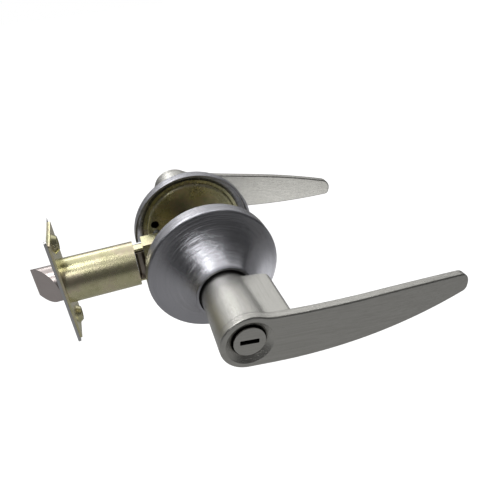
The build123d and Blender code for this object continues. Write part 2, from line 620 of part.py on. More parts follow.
def retractor_slot(height, x0, x1):
    """The gap that the retractor's sheet runs in."""
    fit = PART_CLEARANCE / 2
    near = RETRACTOR_OFFSET - fit
    far = RETRACTOR_OFFSET + RETRACTOR_SHEET + fit
    return span_box(x0, x1, near, far, -height - fit, height + fit)


def pin_bar(radius, length):
    """A cylinder along Y where the cross pin goes."""
    return Pos(BOLT_END_X - PIN_SET_BACK, 0, 0) * Rot(90, 0, 0) * Cylinder(radius, length)


def make_bolt():
    """D-section bolt with its bevel, slotted at the back for the retractor."""
    bolt = extrude(Pos(BOLT_TIP_X, 0, 0) * bolt_section(0), BOLT_BODY_LENGTH)
    nose = (BOLT_TIP_X, BOLT_FLAT - BOLT_TIP_LAND)
    heel = (FRONT_X - BOLT_BEVEL_END, -BOLT_RADIUS)
    beyond = BOLT_TIP_X - CUT_PAST
    bevel = Polyline(nose, heel, (beyond, -BOLT_RADIUS - CUT_PAST), (beyond, nose[1]), nose)
    bolt -= extrude(make_face(bevel), 2 * BOLT_RADIUS, both=True)
    bolt -= retractor_slot(STEM_HALF_HEIGHT, BOLT_END_X - BOLT_SLOT_DEPTH, BOLT_END_X + CUT_PAST)
    bolt -= pin_bar(RETRACTOR_PIN_RADIUS, 4 * BOLT_RADIUS)
    tip_edges = bolt.edges().filter_by(Axis.Z).sort_by(Axis.X)[0:2]
    return fillet(tip_edges, BOLT_EDGE_ROUND)


def make_retractor():
    """Flat plate pinned to the bolt; its arms pass the cam and its hooks catch the lobes."""
    stem_start = BOLT_END_X - BOLT_SLOT_DEPTH + PART_CLEARANCE
    hook_end = HOOK_X + HOOK_THICKNESS
    neck = HOOK_X - HOOK_NECK
    far = RETRACTOR_OFFSET + RETRACTOR_SHEET
    retractor = span_box(stem_start, WEB_END_X, RETRACTOR_OFFSET, far, -STEM_HALF_HEIGHT, STEM_HALF_HEIGHT)
    retractor += span_box(WEB_START_X, WEB_END_X, RETRACTOR_OFFSET, far, -ARM_OUTER, ARM_OUTER)
    arm = Polyline((WEB_START_X, ARM_INNER), (neck - ARM_RAMP, ARM_INNER), (neck, HOOK_INNER),
                   (hook_end, HOOK_INNER), (hook_end, LOBE_HEIGHT), (neck - ARM_RAMP, LOBE_HEIGHT),
                   (neck - 2 * ARM_RAMP, ARM_OUTER), (WEB_START_X, ARM_OUTER), (WEB_START_X, ARM_INNER))
    sheet = extrude(Pos(0, RETRACTOR_OFFSET, 0) * (Plane.XZ * make_face(arm)), -RETRACTOR_SHEET)
    upper = sheet + span_box(HOOK_X, hook_end, -LOBE_THICKNESS / 2, far, HOOK_INNER, LOBE_HEIGHT)
    retractor += upper + mirror(upper, Plane.XY)
    return retractor - pin_bar(RETRACTOR_PIN_RADIUS, 4 * BOLT_RADIUS)


def make_bolt_spring():
    """Compression spring from the bolt's back to the seat."""
    start = BOLT_END_X + BOLT_SPRING_WIRE_RADIUS
    length = SEAT_X - BOLT_SPRING_WIRE_RADIUS - start
    path = Helix(length / BOLT_SPRING_TURNS, length, BOLT_SPRING_COIL_RADIUS)
    wire = Plane(path @ 0, z_dir=path % 0) * Circle(BOLT_SPRING_WIRE_RADIUS)
    return along_x(Pos(0, 0, start) * sweep(wire, path=path, is_frenet=True))


def make_spring_seat():
    """Plug staked in the tube, slotted for the retractor."""
    seat = along_x(span_cylinder(TUBE_BORE, SEAT_X, SEAT_END_X))
    return seat - retractor_slot(STEM_HALF_HEIGHT, SEAT_X - CUT_PAST, SEAT_END_X + CUT_PAST)


def make_tail_frame():
    """Two plates tabbed into the tube, a guide, two cheeks that carry the cam, and an end wall.

    It passes through the bore in the door's edge; the cheeks are notched for the post.
    """
    half = FRAME_WIDTH / 2
    sheet = FRAME_SHEET
    low = TUBE_RADIUS - FRAME_STEP
    high = low + sheet
    start = TUBE_END_X + FRAME_GAP
    plate_end = HOOK_X - HOOK_NECK - 2 * ARM_RAMP - PART_CLEARANCE
    tab_far = RETRACTOR_OFFSET - PART_CLEARANCE
    tab_near = tab_far - TAB_WIDTH
    tab_low = low - TAB_DROP
    plate = span_box(start, plate_end, -half, half, low, high)
    plate += span_box(start, start + sheet, tab_near, tab_far, tab_low, high)
    plate += span_box(TUBE_END_X - TAB_LENGTH, start + sheet, tab_near, tab_far, tab_low, tab_low + sheet)
    guide = span_box(start, start + GUIDE_LENGTH, tab_near, tab_near + sheet, -low, low)
    guide -= Pos(start + GUIDE_LENGTH / 2, tab_near, 0) * Box(GUIDE_WINDOW_LENGTH, 4 * sheet, GUIDE_WINDOW_HEIGHT)
    cheeks = span_box(plate_end - CHEEK_LAP, FRAME_END, -half, half, -high, high)
    cheeks -= span_box(plate_end - CHEEK_LAP, FRAME_END - sheet, sheet - half, half - sheet, -high, high)
    cheeks -= Rot(90, 0, 0) * Cylinder(CAM_RADIUS + BEARING_CLEARANCE, 2 * FRAME_WIDTH)
    notch = Rot(90, 0, 0) * Cylinder(POST_RADIUS + 2 * PART_CLEARANCE, 2 * FRAME_WIDTH)
    cheeks -= Pos(-SCREW_X, 0, 0) * notch
    return plate + mirror(plate, Plane.XY) + guide + cheeks


def make_cam():
    """Square-bored hub with two lobes, which lean back by half the levers' travel at rest."""
    cam = Rot(90, 0, 0) * Cylinder(CAM_RADIUS, CAM_WIDTH)
    root = CAM_RADIUS - LOBE_HALF_WIDTH
    lobe = Polyline((-LOBE_HALF_WIDTH, LOBE_HEIGHT), (LOBE_HALF_WIDTH, LOBE_HEIGHT),
                    (LOBE_HALF_WIDTH - LOBE_UNDERCUT, root), (-LOBE_HALF_WIDTH - LOBE_UNDERCUT, root),
                    (-LOBE_HALF_WIDTH, LOBE_HEIGHT))
    lobe = extrude(Plane.XZ * make_face(lobe), LOBE_THICKNESS / 2, both=True)
    lobe = Rot(0, -LEVER_TRAVEL / 2, 0) * lobe
    cam += lobe + mirror(lobe, Plane.XY)
    socket = SPINDLE_SIZE + 2 * SPINDLE_FIT
    return cam - Rot(0, LEVER_REST_ANGLE, 0) * Box(socket, 2 * CAM_WIDTH, socket)


# ---------------------------------------------------------------- the set

def build():
    """Every piece under its name."""
    lever = make_lever()
    rose = make_rose()
    bushing = make_bushing()
    washer = make_stop_washer()
    ring = make_retaining_ring()
    spring = make_return_spring()
    set_screw = make_set_screw()
    level = LEVER_REST_ANGLE
    lagging = LEVER_REST_ANGLE + INTERIOR_LAG
    return {
        "exterior_lever": outside(lever, level),
        "interior_lever": inside(lever, lagging),
        "exterior_rose": outside(rose),
        "interior_rose": inside(rose),
        "exterior_mounting_plate": outside(make_plate(post_hole())),
        "interior_mounting_plate": inside(make_plate(screw_slot())),
        "exterior_hub": outside(make_hub(0), level),
        "interior_hub": inside(make_hub(INTERIOR_LAG), level),
        "exterior_bushing": outside(bushing),
        "interior_bushing": inside(bushing),
        "exterior_stop_washer": outside(washer),
        "interior_stop_washer": inside(washer),
        "exterior_retaining_ring": outside(ring),
        "interior_retaining_ring": inside(ring),
        "exterior_return_spring": outside(spring),
        "interior_return_spring": inside(spring),
        "lever_set_screws": outside(set_screw, level) + inside(set_screw, lagging),
        "emergency_release_disc": outside(make_release_disc(), level),
        "turn_button": inside(make_turn_button(), level),
        "spindle": outside(make_spindle(), level),
        "privacy_bar": outside(make_privacy_bar(), level),
        "threaded_posts": outside(make_threaded_posts()),
        "mounting_screws": inside(make_mounting_screws()),
        "latch_faceplate": make_faceplate(),
        "latch_back_plate": make_back_plate(),
        "latch_tube": make_latch_tube(),
        "latch_bolt": make_bolt(),
        "retractor": make_retractor(),
        "retractor_pin": pin_bar(RETRACTOR_PIN_RADIUS, PIN_LENGTH),
        "bolt_spring": make_bolt_spring(),
        "spring_seat": make_spring_seat(),
        "latch_tail_frame": make_tail_frame(),
        "latch_cam": make_cam(),
    }


os.makedirs("parts", exist_ok=True)
for piece_name, piece in build().items():
    export_step(piece, os.path.join("parts", piece_name + ".step"))
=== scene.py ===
# %% [markdown]
# # A privacy door lever set, finished as it comes out of its box
#
# The set is what you would lift out of the box before fitting it to a door: two lever handles
# on round roses, the spindle between them, and the tubular latch with its faceplate. The solids
# are already built at their real size. Here they get their finishes, the bolt's spring is wound
# again as an even coil, and a small guide block is added at the latch's tail.
#
# Everything is in metres, on the part's own axes: Y is the spindle, Z is up, and the latch
# points to -X.

# %% Load the fixed frame
import bmesh
import bpy
import math
from mathutils import Matrix, Vector


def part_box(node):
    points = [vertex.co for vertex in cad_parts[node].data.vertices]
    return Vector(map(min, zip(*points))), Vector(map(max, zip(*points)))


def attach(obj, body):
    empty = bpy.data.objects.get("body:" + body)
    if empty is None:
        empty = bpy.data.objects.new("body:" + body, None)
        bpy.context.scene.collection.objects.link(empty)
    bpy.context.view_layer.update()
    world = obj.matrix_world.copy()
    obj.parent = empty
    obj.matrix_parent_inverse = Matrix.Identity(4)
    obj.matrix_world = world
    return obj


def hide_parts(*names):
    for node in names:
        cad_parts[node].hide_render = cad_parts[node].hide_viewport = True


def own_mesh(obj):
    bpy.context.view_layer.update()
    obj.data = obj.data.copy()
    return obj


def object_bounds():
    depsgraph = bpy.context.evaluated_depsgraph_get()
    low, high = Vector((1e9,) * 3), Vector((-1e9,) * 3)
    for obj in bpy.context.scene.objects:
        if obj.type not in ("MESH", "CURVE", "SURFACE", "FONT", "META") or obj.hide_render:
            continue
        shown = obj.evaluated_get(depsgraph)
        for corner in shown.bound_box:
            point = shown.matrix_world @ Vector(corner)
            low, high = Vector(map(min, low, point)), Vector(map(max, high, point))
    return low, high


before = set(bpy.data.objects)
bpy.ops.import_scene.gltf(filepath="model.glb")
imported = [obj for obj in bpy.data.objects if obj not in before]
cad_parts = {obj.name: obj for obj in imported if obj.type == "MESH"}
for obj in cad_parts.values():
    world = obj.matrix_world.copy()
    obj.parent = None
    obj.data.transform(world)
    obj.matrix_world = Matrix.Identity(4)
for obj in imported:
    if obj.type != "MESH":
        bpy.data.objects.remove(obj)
cad_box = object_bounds()
MM = 0.001

# %% [markdown]
# ## The camera
#
# It stands a forearm's length in front of the spindle and a little above it, as someone
# holding the set in one hand would look at it. At that distance the near lever looms over the
# far one, so the place and the lens matter as much as the direction. Three angles turn it:
# heading about the vertical, then pitch down, then a small roll about its own line of sight.

# %% Place the camera
CAMERA_PLACE = Vector((-33.98, -221.82, 135.33)) * MM
CAMERA_LENS = 36.881
CAMERA_ANGLES = (14.775, 32.237, -6.394)
SENSOR_WIDTH = 36.0

heading, pitch, roll = (math.radians(angle) for angle in CAMERA_ANGLES)
turn = Matrix.Rotation(-heading, 4, "Z")
turn = turn @ Matrix.Rotation(math.radians(90) - pitch, 4, "X")
turn = turn @ Matrix.Rotation(roll, 4, "Z")
camera = bpy.data.objects.new("camera", bpy.data.cameras.new("camera"))
camera.matrix_world = Matrix.Translation(CAMERA_PLACE) @ turn
camera.data.lens = CAMERA_LENS
camera.data.sensor_width = SENSOR_WIDTH
camera.data.clip_start = 10 * MM
bpy.context.scene.collection.objects.link(camera)
bpy.context.scene.camera = camera
print("camera at", [round(v, 3) for v in CAMERA_PLACE], "lens", CAMERA_LENS)

# %% [markdown]
# ## Arithmetic on shader sockets
#
# A finish is mostly small sums: a distance from an axis, times a number, plus some noise. Laid
# out as Math nodes they are hard to read, so a `Wire` wraps one socket, and adding or
# multiplying wires adds the nodes. The reflected forms let a plain number stand first, as in
# `1 - mask`.

# %% The Wire helper
class Wire:
    """One output socket, with arithmetic that adds Math nodes to its tree."""

    def __init__(self, nodes, socket):
        self.nodes = nodes
        self.socket = socket

    def math(self, operation, *others):
        return self.nodes.node("Math", {"operation": operation}, [self, *others])

    def __add__(self, other):
        return self.math("ADD", other)

    def __sub__(self, other):
        return self.math("SUBTRACT", other)

    def __rsub__(self, other):
        return self.nodes.node("Math", {"operation": "SUBTRACT"}, [other, self])

    def __mul__(self, other):
        return self.math("MULTIPLY", other)

    def __pow__(self, other):
        return self.math("POWER", other)

    __radd__ = __add__
    __rmul__ = __mul__


print("helper: a Wire can be added, subtracted, multiplied and raised to a power")

# %% [markdown]
# ## Node trees
#
# Every other kind of node comes from one method, `node`. It gives the node its settings first,
# because some of them decide which sockets there are, and then feeds the sockets with numbers,
# colours or wires. The short methods after it are the nodes that nearly every finish uses.

# %% The Nodes helper
def set_stops(ramp, stops):
    """Give a colour ramp its stops: (place, colour) pairs."""
    while len(ramp.elements) < len(stops):
        ramp.elements.new(0.5)
    for element, (place, colour) in zip(ramp.elements, stops):
        element.position = place
        element.color = (*colour, 1.0)


class Nodes:
    """A node tree under construction."""

    def __init__(self, tree):
        self.tree = tree

    def feed(self, socket, value):
        """Link a wire to a socket or set the socket; a colour gets its fourth number here."""
        if isinstance(value, Wire):
            self.tree.links.new(value.socket, socket)
        elif isinstance(value, tuple) and len(socket.default_value) == len(value) + 1:
            socket.default_value = (*value, 1.0)
        else:
            socket.default_value = value

    def node(self, kind, settings=None, inputs=(), output=0):
        """Any node: its settings, its inputs by position or by name, and the output to use."""
        made = self.tree.nodes.new("ShaderNode" + kind)
        for key, value in (settings or {}).items():
            if key == "stops":
                set_stops(made.color_ramp, value)
            else:
                setattr(made, key, value)
        named = inputs.items() if isinstance(inputs, dict) else enumerate(inputs)
        for key, value in named:
            self.feed(made.inputs[key], value)
        return Wire(self, made.outputs[output]) if made.outputs else None

    def smooth(self, value, low, high):
        """Ease from 0 to 1 as value goes from low to high."""
        return self.node("MapRange", {"interpolation_type": "SMOOTHSTEP"}, [value, low, high])

    def noise(self, vector, scale, detail, roughness=0.5):
        inputs = {"Vector": vector, "Scale": scale, "Detail": detail, "Roughness": roughness}
        return self.node("TexNoise", {}, inputs)

    def blend(self, factor, first, second):
        """Mix two colours."""
        settings = {"data_type": "RGBA", "clamp_factor": True}
        return self.node("Mix", settings, {0: factor, 6: first, 7: second}, output=2)

    def parts(self, vector):
        """The x, y and z of a vector."""
        return [self.node("SeparateXYZ", {}, [vector], output=axis) for axis in "XYZ"]

    def stretch(self, vector, scale, turned=(0, 0, 0)):
        """Turn a pattern, then set how fine it is along each axis."""
        settings = {"vector_type": "TEXTURE"}
        turned_place = self.node("Mapping", settings, {"Vector": vector, "Rotation": turned})
        return self.node("Mapping", {}, {"Vector": turned_place, "Scale": scale})

    def bump(self, height, distance, strength):
        inputs = {"Height": height, "Distance": distance, "Strength": strength}
        return self.node("Bump", {}, inputs)

    def seen_directly(self):
        """1 on a ray from the camera or through glass, 0 on one that lights or reflects."""
        camera_ray = self.node("LightPath", output="Is Camera Ray")
        return camera_ray + self.node("LightPath", output="Is Transmission Ray")


print("helper: Nodes makes the nodes of a tree and feeds their sockets")

# %% [markdown]
# ## A finish and how it is put on
#
# A `Finish` is a material under construction. It starts with the place on the piece in the
# piece's own coordinates, because these stay with the metal when a lever turns, and ends by
# feeding the one Principled surface. `dress` swaps it for the plain material of a CAD node.

# %% The Finish helper
class Finish(Nodes):
    """A material under construction: its nodes, then the surface they feed."""

    def __init__(self, name):
        self.material = bpy.data.materials.new(name)
        self.material.use_nodes = True
        super().__init__(self.material.node_tree)
        self.surface = self.tree.nodes["Principled BSDF"]
        self.place = self.node("TexCoord", output="Object")

    def use(self, **sockets):
        """Feed the Principled surface; underscores stand for spaces."""
        for key, value in sockets.items():
            self.feed(self.surface.inputs[key.replace("_", " ")], value)
        print("finish:", self.material.name, len(self.tree.nodes), "nodes")
        return self.material


def dress(material, *names):
    """Give CAD nodes a finish in place of the plain one that they came with."""
    for name in names:
        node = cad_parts[name]
        node.data.materials.clear()
        node.data.materials.append(material)
    print("  worn by", ", ".join(names))


print("helper: Finish starts a material, dress puts it on")

# %% [markdown]
# ## Satin nickel, brushed lengthwise
#
# The levers are cast zinc, plated with nickel and brushed. Brushing leaves fine parallel
# scratches, and each one spreads a highlight across itself but not along itself. The surface
# has a setting for that, anisotropy, but a strongly stretched noise in a bump does it with
# scratches that can be seen up close: it changes quickly across the brush lines and slowly
# along them. The blade is brushed towards its tip, the shank and its web along the spindle, and
# the depth and the distance from the spindle tell the two apart. The release disc has the same
# nickel, with painted shade at the bottom of its coin slot: the colour there turns near-black
# for the shade in that deep recess.

# %% Satin nickel's numbers
EXTERIOR_DROOP = math.radians(8.5)
INTERIOR_DROOP = math.radians(15.4)
BLADE_INNER_FACE = 74.0 * MM
WEB_CORNER_REACH = 20.8 * MM
COIN_SLOT_FLOOR = 76.4 * MM
NICKEL_DARK = (0.49, 0.485, 0.45)
NICKEL_LIGHT = (0.56, 0.555, 0.515)
NICKEL_SCRATCH = (0.68, 0.665, 0.635)
NICKEL_DULL = (0.34, 0.325, 0.30)
# Painted shade: the near-black colour for the bottom of the release disc's coin slot.
SLOT_PAINTED_SHADE = (0.05, 0.047, 0.045)
BRUSH_ALONG, BRUSH_ACROSS = 25, 4500
STREAK_ALONG, STREAK_ACROSS = 9, 1500
STREAK_FROM, STREAK_TO, STREAK_SHARE = 0.42, 0.62, 0.20
SCRATCH_CONTRAST, SCRATCH_SHARE = 1.6, 0.3
NICKEL_ROUGH, NICKEL_CLOUDING, NICKEL_SCRATCHING = 0.17, 0.05, 0.07
BRUSH_DEPTH = 0.12 * MM
print("nickel: levers droop", round(math.degrees(EXTERIOR_DROOP), 1), "and",
      round(math.degrees(INTERIOR_DROOP), 1), "degrees")

# %% Satin nickel
def scratched(finish, lines, metal, scratch):
    """Lighten a metal along its scratches."""
    share = (lines - 0.5) * SCRATCH_CONTRAST + SCRATCH_SHARE
    return finish.blend(share, metal, scratch)


def satin_nickel(name, droop, painted_shade_floor=None):
    """Brushed along the blade, and along the spindle on the shank and its web."""
    finish = Finish(name)
    x, y, z = finish.parts(finish.place)
    blade_way = (BRUSH_ALONG, BRUSH_ACROSS, BRUSH_ACROSS)
    shank_way = (BRUSH_ACROSS, BRUSH_ALONG, BRUSH_ACROSS)
    streak_way = (STREAK_ALONG, STREAK_ACROSS, STREAK_ACROSS)
    along_blade = finish.stretch(finish.place, blade_way, turned=(0, droop, 0))
    along_shank = finish.stretch(finish.place, shank_way)
    depth = y.math("ABSOLUTE")
    reach = (x * x + z * z) ** 0.5
    past_shank = finish.smooth(reach, WEB_CORNER_REACH, WEB_CORNER_REACH + MM)
    on_blade = finish.smooth(depth, BLADE_INNER_FACE - MM / 2, BLADE_INNER_FACE + MM / 2)
    on_blade = on_blade.math("MAXIMUM", past_shank)
    blade_lines = finish.noise(along_blade, scale=1.0, detail=3.0, roughness=0.65)
    shank_lines = finish.noise(along_shank, scale=1.0, detail=4.0, roughness=0.7)
    lines = blade_lines * on_blade + shank_lines * (1 - on_blade)
    cloud = finish.noise(finish.place, scale=70.0, detail=4.0, roughness=0.6)
    along_streaks = finish.stretch(finish.place, streak_way, turned=(0, droop, 0))
    streaks = finish.noise(along_streaks, scale=1.0, detail=4.0, roughness=0.65)
    colour = finish.blend(cloud, NICKEL_DARK, NICKEL_LIGHT)
    colour = scratched(finish, lines, colour, NICKEL_SCRATCH)
    dulled = finish.smooth(streaks, STREAK_FROM, STREAK_TO) * on_blade * STREAK_SHARE
    colour = finish.blend(dulled, colour, NICKEL_DULL)
    # Painted shade: deeper than the coin slot's floor depth, the colour turns near-black for the
    # shade in the recess.
    if painted_shade_floor is not None:
        above_painted_shade = finish.smooth(depth, painted_shade_floor, painted_shade_floor + MM / 4)
        colour = finish.blend(above_painted_shade, SLOT_PAINTED_SHADE, colour)
    rough = NICKEL_ROUGH + cloud * NICKEL_CLOUDING + lines * NICKEL_SCRATCHING
    normal = finish.bump(lines, BRUSH_DEPTH, strength=0.8)
    return finish.use(Base_Color=colour, Metallic=1.0, Roughness=rough, Normal=normal)


dress(satin_nickel("satin_nickel", EXTERIOR_DROOP), "exterior_lever")
dress(satin_nickel("satin_nickel_painted_slot_shade", EXTERIOR_DROOP, painted_shade_floor=COIN_SLOT_FLOOR),
      "emergency_release_disc")
dress(satin_nickel("satin_nickel_interior", INTERIOR_DROOP), "interior_lever", "turn_button")

# %% [markdown]
# ## Spun satin steel
#
# A rose is spun on a lathe and finished while it turns, so its scratches are rings round the
# spindle. The height of the bump then depends on the distance from the axis and on the place
# along it, and hardly on the angle. It is what makes the wedge-shaped highlights that
# fan out from the neck.

# %% Spun steel
STEEL_DARK = (0.38, 0.38, 0.42)
STEEL_LIGHT = (0.48, 0.48, 0.51)
STEEL_RING = (0.64, 0.64, 0.67)
STEEL_ROUGH, STEEL_CLOUDING, STEEL_SCRATCHING = 0.16, 0.04, 0.05
RING_ACROSS, RING_ALONG = 7000, 0.4
RING_DEPTH = 0.10 * MM


def spun_steel():
    finish = Finish("spun_steel")
    x, y, z = finish.parts(finish.place)
    radius = (x * x + z * z) ** 0.5
    angle = z.math("ARCTAN2", x)
    ring_place = [radius * RING_ACROSS, y * RING_ACROSS, angle * RING_ALONG]
    rings = finish.node("CombineXYZ", {}, ring_place)
    lines = finish.noise(rings, scale=1.0, detail=3.0, roughness=0.6)
    cloud = finish.noise(finish.place, scale=60.0, detail=3.0, roughness=0.55)
    colour = finish.blend(cloud, STEEL_DARK, STEEL_LIGHT)
    colour = scratched(finish, lines, colour, STEEL_RING)
    rough = STEEL_ROUGH + cloud * STEEL_CLOUDING + lines * STEEL_SCRATCHING
    normal = finish.bump(lines, RING_DEPTH, strength=0.9)
    return finish.use(Base_Color=colour, Metallic=1.0, Roughness=rough, Normal=normal)


dress(spun_steel(), "exterior_rose", "interior_rose")

# %% [markdown]
# ## Yellow zinc
#
# The plates, the tube and the latch's frame are zinc plated and passivated, which gives a pale
# gold with a weak rainbow where the film is thicker. Slow noise picks the colour from a ramp,
# and a finer noise lays brown stains over it. A fine grain along the latch is the rolled sheet.

# %% Yellow zinc
FILM_COLOURS = [(0.30, (0.56, 0.54, 0.32)), (0.44, (0.68, 0.65, 0.40)),
                (0.52, (0.74, 0.69, 0.45)), (0.60, (0.72, 0.63, 0.46)),
                (0.70, (0.58, 0.59, 0.38))]
STAIN_COLOUR = (0.40, 0.31, 0.18)
STAIN_FROM, STAIN_TO, STAIN_SHARE = 0.54, 0.74, 0.30
SHEET_ALONG, SHEET_ACROSS = 300, 3000
SHEET_DEPTH = 0.03 * MM
ZINC_ROUGH, ZINC_CLOUDING, ZINC_STAINING = 0.20, 0.14, 0.10


def yellow_zinc():
    finish = Finish("yellow_zinc")
    film = finish.noise(finish.place, scale=70.0, detail=5.0, roughness=0.65)
    spots = finish.noise(finish.place, scale=210.0, detail=5.0, roughness=0.65)
    stains = finish.smooth(spots, STAIN_FROM, STAIN_TO)
    colour = finish.node("ValToRGB", {"stops": FILM_COLOURS}, [film])
    colour = finish.blend(stains * STAIN_SHARE, colour, STAIN_COLOUR)
    sheet_way = (SHEET_ALONG, SHEET_ACROSS, SHEET_ACROSS)
    grain = finish.noise(finish.stretch(finish.place, sheet_way), scale=1.0, detail=3.0)
    rough = ZINC_ROUGH + film * ZINC_CLOUDING + stains * ZINC_STAINING
    normal = finish.bump(grain, SHEET_DEPTH, strength=0.6)
    return finish.use(Base_Color=colour, Metallic=1.0, Roughness=rough, Normal=normal)


dress(yellow_zinc(), "exterior_mounting_plate", "interior_mounting_plate", "latch_tube",
      "latch_back_plate", "latch_tail_frame")

# %% [markdown]
# ## The plain metals
#
# Screws, pins, springs and the parts inside are bright zinc, bare steel or dark spring steel.
# They are small or half hidden, so one recipe serves them all: two close shades under a soft
# cloud, which also varies the gloss, and a very fine grain. Each row gives a finish its dark
# shade, its light shade, its least roughness and the pieces that wear it.

# %% Plain metals
PLAIN_METALS = {
    "bright_zinc": ((0.55, 0.56, 0.57), (0.68, 0.69, 0.70), 0.22, (
        "threaded_posts", "mounting_screws", "retractor", "retractor_pin", "spring_seat")),
    "plain_steel": ((0.30, 0.29, 0.28), (0.44, 0.43, 0.42), 0.28, (
        "exterior_hub", "interior_hub", "spindle", "privacy_bar", "latch_cam",
        "exterior_stop_washer", "interior_stop_washer", "lever_set_screws")),
    "spring_steel": ((0.16, 0.16, 0.17), (0.30, 0.30, 0.31), 0.25, (
        "exterior_return_spring", "interior_return_spring", "bolt_spring",
        "exterior_retaining_ring", "interior_retaining_ring")),
    "bolt_nickel": ((0.52, 0.46, 0.44), (0.64, 0.58, 0.56), 0.24, ("latch_bolt",)),
    "faceplate_steel": ((0.54, 0.54, 0.54), (0.64, 0.64, 0.64), 0.25, ("latch_faceplate",)),
}
METAL_CLOUDING = 0.12
GRAIN_DEPTH = 0.02 * MM


def plain_metal(name, dark, light, rough):
    finish = Finish(name)
    cloud = finish.noise(finish.place, scale=150.0, detail=4.0)
    colour = finish.blend(cloud, dark, light)
    clouded = rough + cloud * METAL_CLOUDING
    grain = finish.noise(finish.place, scale=2500.0, detail=2.0)
    normal = finish.bump(grain, GRAIN_DEPTH, strength=0.4)
    return finish.use(Base_Color=colour, Metallic=1.0, Roughness=clouded, Normal=normal)


for metal, (dark, light, rough, wearers) in PLAIN_METALS.items():
    dress(plain_metal(metal, dark, light, rough), *wearers)

# %% [markdown]
# ## Nylon
#
# The bushings that the shanks turn in are moulded from bearing nylon. Only a thin ring of
# each shows, in the shaded gap round a shank, so it gets painted shade: a dull near-black
# with a faint cloud.

# %% Nylon
# Painted shade: near-black stands in for the shaded gap round each shank, not the nylon's own
# colour.
NYLON_GAP_SHADE_DARK = (0.012, 0.012, 0.013)
NYLON_GAP_SHADE_LIGHT = (0.028, 0.028, 0.030)


def nylon():
    finish = Finish("nylon")
    cloud = finish.noise(finish.place, scale=200.0, detail=3.0)
    colour = finish.blend(cloud, NYLON_GAP_SHADE_DARK, NYLON_GAP_SHADE_LIGHT)
    return finish.use(Base_Color=colour, Roughness=0.6)


dress(nylon(), "exterior_bushing", "interior_bushing")

# %% [markdown]
# ## From a bmesh to a piece
#
# The pieces after this are new meshes. Each is shaped as a bmesh, which is a mesh in hand that
# operators can work on, and ends the same way: it becomes a mesh, gets its material and joins
# the scene. Its place is already in its points, so the object itself stays at the origin.

# %% From a bmesh to a piece
def finished_piece(name, shape, material):
    """Make a bmesh an object of the scene, at the origin, in its material."""
    mesh = bpy.data.meshes.new(name)
    shape.to_mesh(mesh)
    shape.free()
    mesh.materials.append(material)
    piece = bpy.data.objects.new(name, mesh)
    bpy.context.scene.collection.objects.link(piece)
    print("piece:", name, len(mesh.polygons), "faces")
    return piece


# %% [markdown]
# ## The bolt spring
#
# The spring behind the bolt is squeezed to about a third of its length when a lever is turned.
# A solid cannot do that, so it is wound again here. A curve with a round bevel would also make
# a coil, but a small circle that is spun round the latch's axis, and moved along it a little at
# every step, gives a mesh whose turns are even from end to end.

# %% Bolt spring
SPRING_TURNS = 7
STEPS_PER_TURN = 24
WIRE_SIDES = 10
SPRING_WIRE = 0.4 * MM


def make_bolt_spring():
    low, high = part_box("bolt_spring")
    length = high.x - low.x
    steps = SPRING_TURNS * STEPS_PER_TURN
    coil = bmesh.new()
    wire = bmesh.ops.create_circle(coil, segments=WIRE_SIDES, radius=SPRING_WIRE)["verts"]
    middle = (low.y + high.y) / 2, (low.z + high.z) / 2
    radius = (high.z - low.z) / 2 - SPRING_WIRE
    start = (low.x + SPRING_WIRE, middle[0] + radius, middle[1])
    bmesh.ops.translate(coil, verts=wire, vec=start)
    advance = (length - 2 * SPRING_WIRE) / steps
    bmesh.ops.spin(coil, geom=coil.verts[:] + coil.edges[:], cent=(0, *middle), axis=(1, 0, 0),
                   dvec=(advance, 0, 0), angle=2 * math.pi * SPRING_TURNS, steps=steps,
                   use_merge=False)
    bmesh.ops.remove_doubles(coil, verts=coil.verts, dist=SPRING_WIRE / 100)
    bmesh.ops.holes_fill(coil, edges=coil.edges, sides=WIRE_SIDES)
    bmesh.ops.recalc_face_normals(coil, faces=coil.faces)
    for face in coil.faces:
        face.smooth = len(face.verts) == 4
    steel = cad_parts["bolt_spring"].data.materials[0]
    piece = finished_piece("bolt_spring_coil", coil, steel)
    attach(piece, "root")
    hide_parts("bolt_spring")
    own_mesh(piece)
    print("bolt spring:", round(length / MM, 2), "mm long")


make_bolt_spring()

# %% [markdown]
# ## The guide block at the latch's tail
#
# Between the tube's end and the tail frame sits a small folded block with an upright slot, and
# the retractor's sheet slides beside it. It could be cut from a box with a Boolean, but the
# slot is only a hollow in one face: a cube is set to the block's size, its front face is inset
# and pushed in, and then all its sharp edges are bevelled together.

# %% Guide block
GUIDE_GAP = 0.05 * MM
GUIDE_SIZE = Vector((4.4, 5.6, 15.2)) * MM
GUIDE_SIDE = -1.4 * MM
GUIDE_BEVEL = 0.25 * MM
GUIDE_SLOT_RIM = 1.5 * MM
GUIDE_SLOT_DEPTH = 2.5 * MM
SHARP = math.radians(60)
TAIL_DARK = (0.30, 0.26, 0.22)
TAIL_LIGHT = (0.46, 0.41, 0.36)


